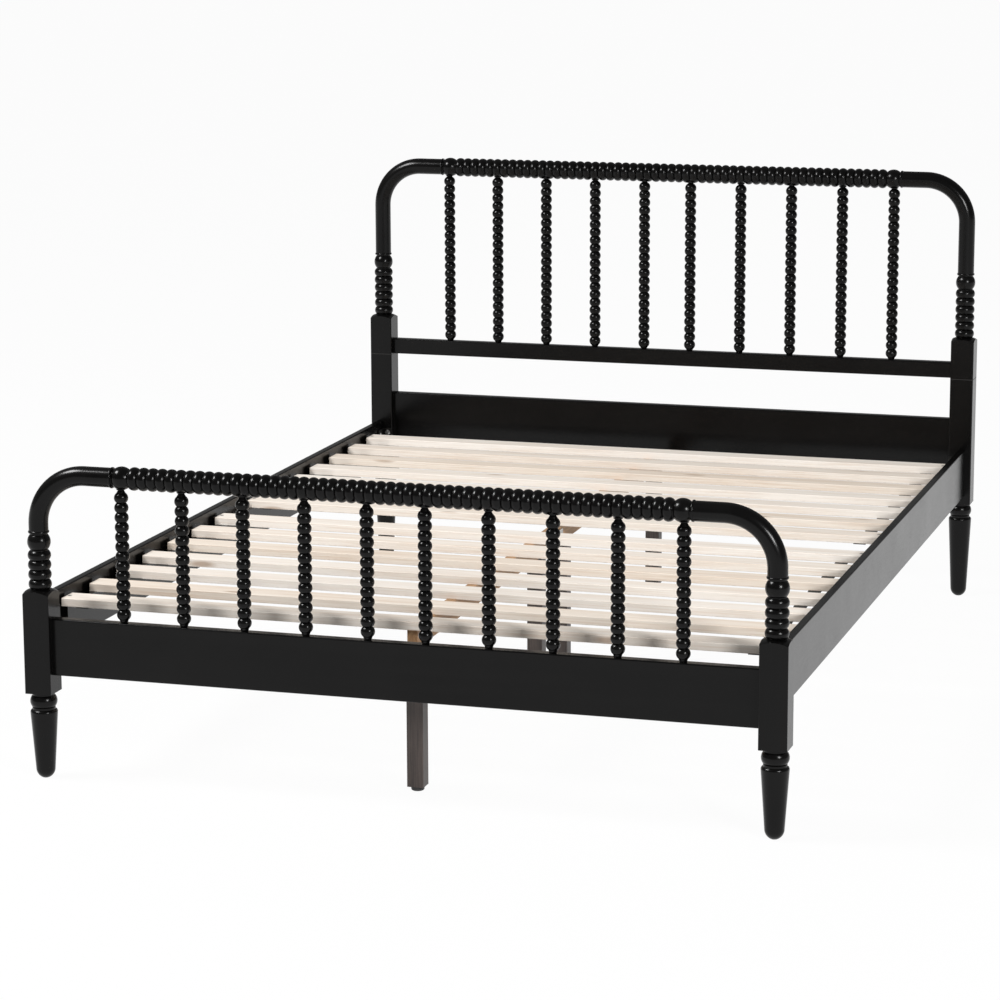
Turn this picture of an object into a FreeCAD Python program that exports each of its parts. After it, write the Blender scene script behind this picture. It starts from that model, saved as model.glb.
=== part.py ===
import FreeCAD, Part
import Sketcher
import math
import os
import re

# A full-size spindle bed.  X runs across the bed, Y from the foot (-) to the head (+), Z up.
# The origin is on the floor under the middle of the bed.  Sizes are millimetres.

os.makedirs("parts", exist_ok=True)
doc = FreeCAD.newDocument("SpindleBed")
sheet = doc.addObject("Spreadsheet::Sheet", "Sizes")
Vec = FreeCAD.Vector
rows = []


def put(alias, value):
    """One size: a cell of the sheet with a name."""
    rows.append(alias)
    cell = "B%d" % len(rows)
    sheet.set("A%d" % len(rows), "'" + alias)
    sheet.set(cell, str(value))
    sheet.setAlias(cell, alias)


# ---- the bed as a whole: every size below has its own name, and the sheet is filled from the names
post_x = 701.7  # middle of the bed to a post's axis, across
post_y = 994.5  # middle of the bed to a post's axis, lengthwise
post_side = 52.6  # square section of the posts
dome_radius = 64.0  # the turned dome on top of each block
edge_round = 2.5  # eased edges of the painted boards
bore_play = 0.3  # room round every dowel, tenon and screw
drill_over = 1.0  # how far a drill or a turning tool runs past a face
# ---- heights of the four posts
foot_block_low = 166.5  # the legs under the foot posts
foot_block_tall = 189.0
head_block_low = 219.5  # the legs under the head posts
head_lower_tall = 291.3  # lower head post, up to the seam
head_upper_tall = 85.0  # the square block of the upper head post
foot_tube_run = 12.5  # straight part of a corner tube before its bend
head_tube_run = 114.9
# ---- turned rings, balls and lips of the posts and top rails
ring_pitch = 18.4
ring_crest = 21.8  # radius
ring_bulge = 4.5  # crest over valley
ring_seat = 9.1  # block corner to the first ring's lower edge
ball_over = 0.1  # a ball's crest over a ring's
ball_bulge = 5.5
ball_half = 14.6
ball_gap = 1.6  # bare neck between the last ring and the ball
lip_bulge = 1.4
lip_thick = 5.0
lip_gap = 2.0  # bare neck between a ball and its lip
core_sunk = 5.0  # the turned core starts this far down in the block
tube_radius = 18.4
elbow_radius = 95.0  # bend of the tube's centreline
elbow_run = 50.0  # least straight part of a tube beside its top rail
foot_rings = 4
head_rings = 6
# ---- spindles
spindle_pairs = 5  # each side of the middle
spindle_first = 55.25  # middle of the bed to the nearest spindle
spindle_over = 2.25  # the last spindle stands this far outside the ball's centre
bead_crest = 13.25  # radius
bead_bulge = 4.5
foot_neck = 15.4  # board's top to the lowest bead's centre
head_neck = 13.8
neck_least = 2.0  # bare neck over the highest bead, at least
neck_sunk = 2.0
neck_in = 1.55  # the core inside the beads' valleys
foot_in = 2.25  # the lower end, at its board, inside the beads' valleys
taper_in = 3.45  # the upper end inside the beads' valleys
tenon_in = 1.2  # shoulder of the tenon
tenon_deep = 14.0
pad_rim = 3.2  # small flats under the top rails where the spindles enter
pad_lift = 0.5
pad_high = 14.0
# ---- cross boards of the foot and the head
board_thick = 22.0
foot_panel_tall = 108.6
foot_panel_drop = 45.3  # under the top of the post's block
head_mid_tall = 36.2
head_mid_rise = 0.2  # over the seam of the head posts
head_panel_tall = 109.8
head_panel_drop = 204.5  # the seam to the panel's lower edge
# ---- side rails and the strips that carry the slats
side_rail_inset = 14.0  # behind the posts' outer faces
side_rail_thick = 16.0
side_rail_tall = 109.6
side_rail_drop = 7.9  # under the top of the foot posts' blocks
ledger_wide = 20.0
ledger_tall = 40.0
ledger_drop = 31.6  # under the side rail's top edge
ledger_gap = 1.8  # to the corner brackets
# ---- slats, their webbing, and the support down the middle
slat_wide = 50.0
slat_thick = 16.0
slat_room = 8.0  # slat's end to the side rail
slat_pitch = 130.0
slat_round = 1.5
roll_gap = 0.8  # first slat to the corner brackets
roll_back = 97.7  # last slat to the head posts
roll_free = 20.0  # least bare space beside the middle
web_wide = 25.0
web_thick = 1.6
web_in = 42.0  # slat's end to the webbing's middle
beam_wide = 20.0
beam_tall = 38.0
beam_gap = 63.2  # beam's end to the line of the posts' inner faces
prop_side = 32.0  # the square legs under the beam
prop_inner = 95.0  # middle of the bed to the inner legs
prop_in = 24.0  # beam's end to the outer leg's axis
glide_radius = 12.5
glide_high = 9.0
glide_round = 3.5
stem_radius = 4.0
stem_long = 26.0
stem_room = 20.0  # bore past the stem's end
stem_play = 0.08  # running fit of the screwed stem
# ---- turned legs under the posts
leg_in = 0.5  # widest part inside the post's faces
leg_taper = 7.65  # widest part to the narrow lower end
tip_in = 11.65
tip_high = 18.0
tip_bow = 9.12  # radius of the rounded foot over half its chord
cove_in = 4.0
collar_in = 0.25
collar_bulge = 4.75
collar_top = 5.5  # block to the collar's upper edge
collar_high = 23.5
cove_high = 4.0
shoulder_high = 5.5
shoulder_bow = 2.5996
# ---- joints and hardware
dowel_radius = 6.0
dowel_deep = 18.0
stud_radius = 4.0
stud_roof = 8.0  # wood left over a stud in the beam
plate_thick = 2.5
plate_wide = 22.0
plate_long = 39.4
plate_rise = 18.0  # over the side rail's lower edge
plate_drop = 16.6  # under the side rail's top edge
bolt_radius = 3.0
bolt_head = 6.5
bolt_head_high = 4.0
bolt_deep = 16.0
bolt_in = 11.5  # side rail's inner face to a bolt's axis
bolt_rise = 12.0
bolt_drop = 11.0
screw_radius = 2.0
screw_head = 4.0
screw_head_high = 2.0
screw_wall = 1.0  # half the wood left between two screws that face each other in the beam
screw_back = 26.0
slat_screw_long = 28.0
ledger_end = 87.0  # ledger's end to its last screw
splice_half = 60.0
splice_near = 18.0
splice_far = 46.0
splice_edge = 8.0  # bare beam over and under a splice plate

for alias, size in list(globals().items()):
    if type(size) in (int, float):
        put(alias, size)

# ---- sizes that follow from the ones above
put("post_half", "=post_side / 2")
put("post_corner", "=post_half * 1.4143 + 2 * drill_over")
put("dome_rise", "=dome_radius - sqrt(dome_radius ^ 2 - 2 * post_half ^ 2)")
put("dome_drop", "=dome_radius - sqrt(dome_radius ^ 2 - post_corner ^ 2)")
put("inner_x", "=post_x - post_half")  # inner face of the posts
put("inner_y", "=post_y - post_half")
put("ring_half", "=ring_pitch / 2")
put("ring_valley", "=ring_crest - ring_bulge")
put("ring_arc", "=(ring_half ^ 2 + ring_bulge ^ 2) / (2 * ring_bulge)")
put("ball_crest", "=ring_crest + ball_over")
put("ball_neck", "=ball_crest - ball_bulge")
put("ball_arc", "=(ball_half ^ 2 + ball_bulge ^ 2) / (2 * ball_bulge)")
put("bead_valley", "=bead_crest - bead_bulge")
put("bead_arc", "=(ring_half ^ 2 + bead_bulge ^ 2) / (2 * bead_bulge)")
put("lip_arc", "=((lip_thick / 2) ^ 2 + lip_bulge ^ 2) / (2 * lip_bulge)")
put("lip_reach", "=ball_half + lip_gap + lip_thick")
put("ball_step", "=ring_half + ball_gap + ball_half")  # last ring's centre to the ball's centre
put("ring_start", "=ring_half + ring_seat")
put("rail_room", "=post_x - elbow_radius - elbow_run - lip_reach - ball_step")
put("rail_rings", "=floor(rail_room / ring_half) + 1")
put("ball_at", "=(rail_rings - 1) * ring_half + ball_step")
put("rail_half", "=ball_at + lip_reach")
put("foot_block_high", "=foot_block_low + foot_block_tall")
put("head_seam", "=head_block_low + head_lower_tall")  # the upper head post stands on the lower one
put("head_block_high", "=head_seam + head_upper_tall")
put("foot_post_top", "=foot_block_high + ring_start + (foot_rings - 1) * ring_pitch + ball_step + lip_reach")
put("head_post_top", "=head_block_high + ring_start + (head_rings - 1) * ring_pitch + ball_step + lip_reach")
put("foot_rail_axis", "=foot_post_top + foot_tube_run + elbow_radius")
put("head_rail_axis", "=head_post_top + head_tube_run + elbow_radius")
put("foot_panel_high", "=foot_block_high - foot_panel_drop")
put("foot_panel_low", "=foot_panel_high - foot_panel_tall")
put("head_mid_low", "=head_seam + head_mid_rise")
put("head_mid_high", "=head_mid_low + head_mid_tall")
put("head_panel_low", "=head_seam - head_panel_drop")
put("head_panel_high", "=head_panel_low + head_panel_tall")
put("spindle_pitch", "=(ball_at + spindle_over - spindle_first) / (spindle_pairs - 1)")
put("neck_low", "=bead_valley - neck_in")
put("neck_foot", "=bead_valley - foot_in")
put("neck_top", "=bead_valley - taper_in")
put("tenon_radius", "=neck_low - tenon_in")
put("pad_radius", "=neck_top + pad_rim")
put("foot_bead_start", "=foot_panel_high + foot_neck")  # centre of the lowest bead
put("head_bead_start", "=head_mid_high + head_neck")
put("bead_roof", "=pad_lift - ring_crest - bore_play - neck_least - ring_half")
put("foot_beads", "=floor((foot_rail_axis + bead_roof - foot_bead_start) / ring_pitch) + 1")
put("head_beads", "=floor((head_rail_axis + bead_roof - head_bead_start) / ring_pitch) + 1")
put("leg_high", "=post_half - leg_in")
put("leg_low", "=leg_high - leg_taper")
put("leg_tip", "=leg_low - tip_in")
put("tip_arc", "=sqrt(tip_in ^ 2 + tip_high ^ 2) / 2 + tip_bow")
put("leg_cove", "=leg_high - cove_in")
put("leg_neck", "=leg_high - collar_in - collar_bulge")
put("collar_arc", "=((collar_high / 2) ^ 2 + collar_bulge ^ 2) / (2 * collar_bulge)")
put("shoulder_arc", "=sqrt(cove_in ^ 2 + shoulder_high ^ 2) / 2 + shoulder_bow")
put("side_rail_out", "=post_x + post_half - side_rail_inset")
put("side_rail_in", "=side_rail_out - side_rail_thick")
put("side_rail_high", "=foot_block_high - side_rail_drop")
put("side_rail_low", "=side_rail_high - side_rail_tall")
put("ledger_high", "=side_rail_high - ledger_drop")
put("ledger_low", "=ledger_high - ledger_tall")
put("ledger_half", "=inner_y - plate_long - ledger_gap")
put("ledger_step", "=(ledger_half - ledger_end) / 2")
put("slat_low", "=ledger_high")
put("slat_half", "=side_rail_in - slat_room")
put("slat_screw_x", "=(side_rail_in - ledger_wide + slat_half) / 2")
put("slat_count", "=floor((inner_y - roll_back - roll_free - slat_wide) / slat_pitch) + 1")  # in each roll
put("foot_roll_edge", "=plate_long + roll_gap - inner_y")  # foot side of the first slat
put("head_roll_edge", "=inner_y - roll_back - (slat_count - 1) * slat_pitch - slat_wide")
put("web_x", "=slat_half - web_in")
put("beam_low", "=ledger_high - beam_tall")
put("beam_half", "=inner_y - beam_gap")
put("prop_outer", "=beam_half - prop_in")
put("stem_bore", "=stem_long + stem_room")
put("stud_deep", "=beam_tall - stud_roof")
put("plate_low", "=side_rail_low + plate_rise")
put("plate_high", "=side_rail_high - plate_drop")
put("bolt_x", "=side_rail_in - bolt_in")
put("bolt_low", "=plate_low + bolt_rise")
put("bolt_high", "=plate_high - bolt_drop")
put("screw_deep", "=beam_wide / 2 - screw_wall")
put("slat_bite", "=slat_screw_long - slat_thick + screw_head_high")
put("ledger_bite", "=slat_screw_long - ledger_wide + screw_head_high")
put("splice_low", "=beam_low + splice_edge")
put("splice_high", "=ledger_high - splice_edge")
sheet.recompute()

ALIAS = re.compile(r"\b([a-z]+_[a-z_]+)\b")


def bound(formula):
    """The formula as an expression that reads the sheet."""
    return ALIAS.sub(r"Sizes.\1", str(formula))


def value(formula):
    """What a formula of sizes comes to now, worked out in a spare cell."""
    sheet.set("D1", "=" + str(formula))
    sheet.recompute()
    return float(sheet.get("D1"))


def bind(obj, prop, formula):
    obj.setExpression(prop, bound(formula))


def place(obj, across, along, up, axis=None, angle=0.0):
    """Put a piece where its own origin belongs, turned about a world axis."""
    if axis:
        obj.Placement = FreeCAD.Placement(Vec(0, 0, 0), FreeCAD.Rotation(axis, angle))
    for prop, formula in (("x", across), ("y", along), ("z", up)):
        bind(obj, "Placement.Base." + prop, formula)
    return obj


def new_body(name):
    body = doc.addObject("PartDesign::Body", name)
    body.Label = name
    return body


def new_sketch(body, name, role):
    sketch = body.newObject("Sketcher::SketchObject", name)
    plane = [part for part in body.Origin.OriginFeatures if part.Role == role][0]
    sketch.AttachmentSupport = (plane, "")
    sketch.MapMode = "FlatFace"
    return sketch


def outline(body, name, corners, arcs=None, role="XZ_Plane"):
    """A closed profile.  Corners are (across, along) formulas, arcs are {side: (radius, turn)}."""
    arcs = arcs or {}
    sketch = new_sketch(body, name, role)
    spots = [Vec(value(across), value(along), 0) for across, along in corners]
    count = len(spots)
    starts = []
    for index, spot in enumerate(spots):
        other = spots[(index + 1) % count]
        if index not in arcs:
            sketch.addGeometry(Part.LineSegment(spot, other))
            starts.append(1)
            continue
        radius = value(arcs[index][0])
        turn = arcs[index][1]
        chord = other - spot
        side = Vec(-chord.y, chord.x, 0).normalize()
        centre = (spot + other) * 0.5 + side * (turn * math.sqrt(radius ** 2 - chord.Length ** 2 / 4))
        first = math.atan2(spot.y - centre.y, spot.x - centre.x)
        last = math.atan2(other.y - centre.y, other.x - centre.x)
        circle = Part.Circle(centre, Vec(0, 0, 1), radius)
        if turn > 0:
            sketch.addGeometry(Part.ArcOfCircle(circle, first, last))
            starts.append(1)
        else:
            sketch.addGeometry(Part.ArcOfCircle(circle, last, first))
            starts.append(2)
    rules = []
    formulas = {}
    for index, (across, along) in enumerate(corners):
        before = (index - 1) % count
        rules.append(Sketcher.Constraint("Coincident", before, 3 - starts[before], index, starts[index]))
        for kind, formula, line in (("DistanceX", across, -2), ("DistanceY", along, -1)):
            if formula == "0":
                rules.append(Sketcher.Constraint("PointOnObject", index, starts[index], line))
                continue
            formulas[len(rules)] = formula
            spot = spots[index]
            reach = spot.x if kind == "DistanceX" else spot.y
            rules.append(Sketcher.Constraint(kind, -1, 1, index, starts[index], reach))
        if index in arcs:
            formulas[len(rules)] = arcs[index][0]
            rules.append(Sketcher.Constraint("Radius", index, value(arcs[index][0])))
    sketch.addConstraint(rules)
    for index, formula in formulas.items():
        bind(sketch, "Constraints[%d]" % index, formula)
    return sketch


def turned(body, name, corners, arcs=None, kind="PartDesign::Revolution"):
    """A profile turned about the body's own upright axis."""
    sketch = outline(body, name + "_profile", corners, arcs)
    turn = body.newObject(kind, name)
    turn.Profile = sketch
    turn.ReferenceAxis = (sketch, ["V_Axis"])
    turn.Angle = 360.0
    return turn


def string_of(body, name, crest_arc, valley, start, count):
    """A row of rings or beads: one turned bead repeated up the axis."""
    low = "%s - ring_half" % start
    high = "%s + ring_half" % start
    corners = [("0", low), (valley, low), (valley, high), ("0", high)]
    bead = turned(body, name, corners, {1: (crest_arc, 1)})
    row = body.newObject("PartDesign::LinearPattern", name + "_row")
    row.Originals = [bead]
    row.Direction = (bead.Profile[0], ["V_Axis"])
    bind(row, "Length", "(%s - 1) * ring_pitch" % count)
    bind(row, "Occurrences", count)
    body.Tip = row
    return row


def rounded(body, name, wide, high, radius):
    """A rectangle with rounded corners about the body's axis, in its XY plane."""
    sketch = new_sketch(body, name, "XY_Plane")
    across = value(wide) / 2
    up = value(high) / 2
    bend = value(radius)
    rules = []
    formulas = {}
    for quarter, (way_x, way_y) in enumerate(((1, -1), (1, 1), (-1, 1), (-1, -1))):
        centre = Vec(way_x * (across - bend), way_y * (up - bend), 0)
        first = (quarter - 1) * math.pi / 2
        circle = Part.Circle(centre, Vec(0, 0, 1), bend)
        sketch.addGeometry(Part.ArcOfCircle(circle, first, first + math.pi / 2))
        for kind, way, full in (("DistanceX", way_x, wide), ("DistanceY", way_y, high)):
            reach = centre.x if kind == "DistanceX" else centre.y
            formulas[len(rules)] = "%d * ((%s) / 2 - (%s))" % (way, full, radius)
            rules.append(Sketcher.Constraint(kind, -1, 1, quarter, 3, reach))
        formulas[len(rules)] = radius
        rules.append(Sketcher.Constraint("Radius", quarter, bend))
    for quarter in range(4):
        start = sketch.Geometry[quarter].EndPoint
        other = (quarter + 1) % 4
        sketch.addGeometry(Part.LineSegment(start, sketch.Geometry[other].StartPoint))
        rules.append(Sketcher.Constraint("Tangent", quarter, 2, quarter + 4, 1))
        rules.append(Sketcher.Constraint("Tangent", quarter + 4, 2, other, 1))
    sketch.addConstraint(rules)
    for index, formula in formulas.items():
        bind(sketch, "Constraints[%d]" % index, formula)
    return sketch


def bar(name, wide, high, radius, length):
    """A straight bar with eased edges, grown up from its own origin."""
    body = new_body(name)
    pad = body.newObject("PartDesign::Pad", name + "_pad")
    pad.Profile = rounded(body, name + "_section", wide, high, radius)
    bind(pad, "Length", length)
    return body


def cross_bar(name, low, high, radius="edge_round", thick="board_thick", along="post_y"):
    """A board between two posts, lying across the bed."""
    body = bar(name, "%s - %s" % (high, low), thick, radius, "2 * inner_x")
    return place(body, "-inner_x", along, "(%s + %s) / 2" % (low, high), Vec(0, 1, 0), 90)


def block(name, long_x, long_y, long_z, across, along, up):
    box = doc.addObject("Part::Box", name)
    bind(box, "Length", long_x)
    bind(box, "Width", long_y)
    bind(box, "Height", long_z)
    return place(box, across, along, up)


TURNS = {
    "+z": (None, 0),
    "-z": (Vec(1, 0, 0), 180),
    "+x": (Vec(0, 1, 0), 90),
    "-x": (Vec(0, 1, 0), -90),
    "+y": (Vec(1, 0, 0), -90),
    "-y": (Vec(1, 0, 0), 90),
}


def rod(name, radius, length, way, across, along, up):
    """A round rod, or the drill for one, starting at a point and running one way."""
    cylinder = doc.addObject("Part::Cylinder", name)
    bind(cylinder, "Radius", radius)
    bind(cylinder, "Height", length)
    axis, angle = TURNS[way]
    return place(cylinder, across, along, up, axis, angle)


def group(name, members):
    compound = doc.addObject("Part::Compound", name)
    compound.Label = name
    compound.Links = members
    return compound


def drilled(name, base, drills):
    """The finished piece: its blank less every bore."""
    cut = doc.addObject("Part::Cut", name)
    base.Label = name + "_blank"
    cut.Label = name
    cut.Base = base
    cut.Tool = drills[0] if len(drills) == 1 else group(name + "_bores", drills)
    return cut


def side(sign, formula):
    return formula if sign > 0 else "-(%s)" % formula


def end_name(sign):
    return "r" if sign > 0 else "l"


nodes = []


def keep(obj):
    nodes.append(obj)
    return obj


# ---- places that several pieces share
# Each entry is one dowel, stud, bolt or screw: its middle or head, and the way it points.
boards = {
    "foot_panel": ("foot_panel_low", "foot_panel_high", "-post_y"),
    "head_mid_rail": ("head_mid_low", "head_mid_high", "post_y"),
    "head_panel": ("head_panel_low", "head_panel_high", "post_y"),
}


def board_dowels(board, sign):
    """The two dowels of one end of a board: (up, along) of each."""
    low, high, along = boards[board]
    return [("(3 * %s + %s) / 4" % (low, high), along), ("(%s + 3 * %s) / 4" % (low, high), along)]


def spindle_x(index):
    """The spindles from the left, the two middle ones spindle_first from the middle."""
    if index < spindle_pairs:
        return "-(spindle_first + %d * spindle_pitch)" % (spindle_pairs - 1 - index)
    return "spindle_first + %d * spindle_pitch" % (index - spindle_pairs)


dowels = []


def dowel(way, across, along, up):
    """A dowel whose middle is at a joint."""
    offset = {"+x": ("- dowel_deep", "", ""), "+z": ("", "", "- dowel_deep")}[way]
    name = "dowel_%02d" % (len(dowels) + 1)
    spot = ["(%s) %s" % pair for pair in zip((across, along, up), offset)]
    dowels.append(rod(name, "dowel_radius", "2 * dowel_deep", way, *spot))


def dowel_bore(name, way, across, along, up):
    """Half a dowel's bore, from the joint's face the given way."""
    return rod(name, "dowel_radius + bore_play", "dowel_deep + bore_play", way, across, along, up)


# ---- posts
def post_body(name, low, high, rings=None, top=None):
    """A square block, and above it the dome, the rings, the ball and the lip."""
    body = new_body(name)
    tall = "%s - %s" % (high, low)
    pad = body.newObject("PartDesign::Pad", name + "_block")
    pad.Profile = rounded(body, name + "_section", "post_side", "post_side", "edge_round")
    if not rings:
        bind(pad, "Length", tall)
        return body
    crown = "%s + dome_rise" % tall
    bind(pad, "Length", crown)
    rim = "%s - dome_drop" % crown
    clear = crown + " + drill_over"
    corners = [("0", crown), ("post_corner", rim), ("post_corner", clear), ("0", clear)]
    turned(body, name + "_dome", corners, {0: ("dome_radius", -1)}, "PartDesign::Groove")
    first = "%s + ring_start" % tall
    ball = "%s + (%s - 1) * ring_pitch + ball_step" % (first, rings)
    peak = "%s - %s" % (top, low)
    corners = [
        ("0", "%s - core_sunk" % tall),
        ("ball_neck", "%s - core_sunk" % tall),
        ("ball_neck", ball + " - ball_half"),
        ("ball_neck", ball + " + ball_half"),
        ("ball_neck", peak + " - lip_thick"),
        ("tube_radius", peak + " - lip_thick"),
        ("tube_radius", peak),
        ("0", peak),
    ]
    turned(body, name + "_ball", corners, {2: ("ball_arc", 1), 5: ("lip_arc", 1)})
    string_of(body, name + "_rings", "ring_arc", "ring_valley", first, rings)
    return body


def bolt_bores(name, sign, end):
    """The bores for one corner's bolts, in the post's face toward the bed's middle."""
    way = "+y" if end > 0 else "-y"
    bores = []
    for up in ("bolt_low", "bolt_high"):
        spot = (side(sign, "bolt_x"), side(end, "inner_y"), up)
        bores.append(rod(name + "_" + up, "bolt_radius + bore_play", "bolt_deep + bore_play", way, *spot))
    return bores


for sign in (-1, 1):
    hand = end_name(sign)
    inward = "+x" if sign > 0 else "-x"
    across = side(sign, "post_x")
    face = side(sign, "inner_x")

    name = "foot_post_" + hand
    turning = post_body(name + "_turned", "foot_block_low", "foot_block_high", "foot_rings", "foot_post_top")
    blank = place(turning, across, "-post_y", "foot_block_low")
    drills = bolt_bores(name, sign, -1)
    drills.append(dowel_bore(name + "_top", "-z", across, "-post_y", "foot_post_top"))
    drills.append(rod(name + "_stud", "stud_radius + bore_play", "stud_deep + bore_play", "+z",
                      across, "-post_y", "foot_block_low"))
    for up, along in board_dowels("foot_panel", sign):
        drills.append(dowel_bore(name + "_side", inward, face, along, up))
    keep(drilled(name, blank, drills))

    name = "head_lower_post_" + hand
    turning = post_body(name + "_turned", "head_block_low", "head_seam")
    blank = place(turning, across, "post_y", "head_block_low")
    drills = bolt_bores(name, sign, 1)
    drills.append(dowel_bore(name + "_top", "-z", across, "post_y", "head_seam"))
    drills.append(rod(name + "_stud", "stud_radius + bore_play", "stud_deep + bore_play", "+z",
                      across, "post_y", "head_block_low"))
    for up, along in board_dowels("head_panel", sign):
        drills.append(dowel_bore(name + "_side", inward, face, along, up))
    keep(drilled(name, blank, drills))

    name = "head_upper_post_" + hand
    turning = post_body(name + "_turned", "head_seam", "head_block_high", "head_rings", "head_post_top")
    blank = place(turning, across, "post_y", "head_seam")
    drills = [dowel_bore(name + "_low", "+z", across, "post_y", "head_seam")]
    drills.append(dowel_bore(name + "_top", "-z", across, "post_y", "head_post_top"))
    for up, along in board_dowels("head_mid_rail", sign):
        drills.append(dowel_bore(name + "_side", inward, face, along, up))
    keep(drilled(name, blank, drills))
    dowel("+z", across, "post_y", "head_seam")

# ---- elbows: plain tubes bent from the posts into the top rails
for end, along, rail_axis, top in (("foot", "-post_y", "foot_rail_axis", "foot_post_top"),
                                   ("head", "post_y", "head_rail_axis", "head_post_top")):
    for sign in (-1, 1):
        name = "%s_elbow_%s" % (end, end_name(sign))
        body = new_body(name + "_bent")
        ring = new_sketch(body, name + "_ring", "XY_Plane")
        ring.addGeometry(Part.Circle(Vec(0, 0, 0), Vec(0, 0, 1), value("tube_radius")))
        ring.addConstraint([Sketcher.Constraint("Coincident", 0, 3, -1, 1),
                            Sketcher.Constraint("Radius", 0, value("tube_radius"))])
        bind(ring, "Constraints[1]", "tube_radius")
        path = new_sketch(body, name + "_path", "XZ_Plane")
        rise = "%s - elbow_radius - %s" % (rail_axis, top)
        reach = "post_x - rail_half"
        bend = value("elbow_radius")
        foot = Vec(0, value(rise), 0)
        peak = Vec(-bend, value(rise) + bend, 0)
        path.addGeometry(Part.LineSegment(Vec(0, 0, 0), foot))
        centre = Vec(-bend, foot.y, 0)
        path.addGeometry(Part.ArcOfCircle(Part.Circle(centre, Vec(0, 0, 1), bend), 0, math.pi / 2))
        path.addGeometry(Part.LineSegment(peak, Vec(-value(reach), peak.y, 0)))
        path.addConstraint([
            Sketcher.Constraint("Coincident", 0, 1, -1, 1),
            Sketcher.Constraint("Vertical", 0),
            Sketcher.Constraint("Tangent", 0, 2, 1, 1),
            Sketcher.Constraint("Tangent", 1, 2, 2, 1),
            Sketcher.Constraint("Horizontal", 2),
            Sketcher.Constraint("Radius", 1, bend),
            Sketcher.Constraint("DistanceY", 0, 1, 0, 2, foot.y),
            Sketcher.Constraint("DistanceX", 2, 2, 0, 1, value(reach)),
        ])
        bind(path, "Constraints[5]", "elbow_radius")
        bind(path, "Constraints[6]", rise)
        bind(path, "Constraints[7]", reach)
        pipe = body.newObject("PartDesign::AdditivePipe", name + "_tube")
        pipe.Profile = ring
        pipe.Spine = (path, ["Edge1", "Edge2", "Edge3"])
        turn = 0 if sign > 0 else 180
        across = side(sign, "post_x")
        place(body, across, along, top, Vec(0, 0, 1), turn)
        inward = "+x" if sign > 0 else "-x"
        joint = side(sign, "rail_half")
        drills = [dowel_bore(name + "_low", "+z", across, along, top)]
        drills.append(dowel_bore(name + "_end", inward, joint, along, rail_axis))
        keep(drilled(name, body, drills))
        dowel("+z", across, along, top)
        dowel("+x", joint, along, rail_axis)

# ---- top rails: a row of rings with a ball and a lip at each end
for end, along, rail_axis in (("foot", "-post_y", "foot_rail_axis"), ("head", "post_y", "head_rail_axis")):
    name = end + "_top_rail"
    body = new_body(name + "_turned")
    profile = []
    for sign in (-1, 1):
        corners = [
            ("0", side(sign, "rail_half")),
            ("tube_radius", side(sign, "rail_half")),
            ("tube_radius", side(sign, "rail_half - lip_thick")),
            ("ball_neck", side(sign, "rail_half - lip_thick")),
            ("ball_neck", side(sign, "ball_at + ball_half")),
            ("ball_neck", side(sign, "ball_at - ball_half")),
        ]
        profile += corners if sign < 0 else corners[::-1]
    arcs = {1: ("lip_arc", 1), 4: ("ball_arc", 1), 6: ("ball_arc", 1), 9: ("lip_arc", 1)}
    turned(body, name + "_core", profile, arcs)
    start = "-(rail_rings - 1) * ring_half"
    string_of(body, name + "_rings", "ring_arc", "ring_valley", start, "rail_rings")
    place(body, "0", along, rail_axis, Vec(0, 1, 0), 90)
    pads = []
    drills = []
    under = rail_axis + " - ring_crest + pad_lift"
    for index in range(2 * spindle_pairs):
        across = spindle_x(index)
        spot = (across, along, under)
        pads.append(rod("%s_pad_%02d" % (name, index + 1), "pad_radius", "pad_high", "+z", *spot))
        deep = "tenon_deep + bore_play + 2 * drill_over"
        drills.append(rod("%s_bore_%02d" % (name, index + 1), "neck_top + bore_play", deep, "+z",
                          across, along, under + " - 2 * drill_over"))
    for sign in (-1, 1):
        outward = "-x" if sign > 0 else "+x"
        joint = side(sign, "rail_half")
        drills.append(dowel_bore(name + "_end_" + end_name(sign), outward, joint, along, rail_axis))
    padded = doc.addObject("Part::Fuse", name + "_padded")
    padded.Base = body
    padded.Tool = group(name + "_pads", pads)
    keep(drilled(name, padded, drills))

# ---- cross boards
for name, (low, high, along) in boards.items():
    blank = cross_bar(name + "_board", low, high, along=along)
    drills = []
    for sign in (-1, 1):
        outward = "-x" if sign > 0 else "+x"
        for up, depth in board_dowels(name, sign):
            drills.append(dowel_bore(name + "_end", outward, side(sign, "inner_x"), along, up))
            dowel("+x", side(sign, "inner_x"), along, up)
    if name != "head_panel":
        for index in range(2 * spindle_pairs):
            drills.append(rod(name + "_seat", "tenon_radius + bore_play", "tenon_deep + bore_play", "-z",
                              spindle_x(index), along, high))
    keep(drilled(name, blank, drills))

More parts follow.
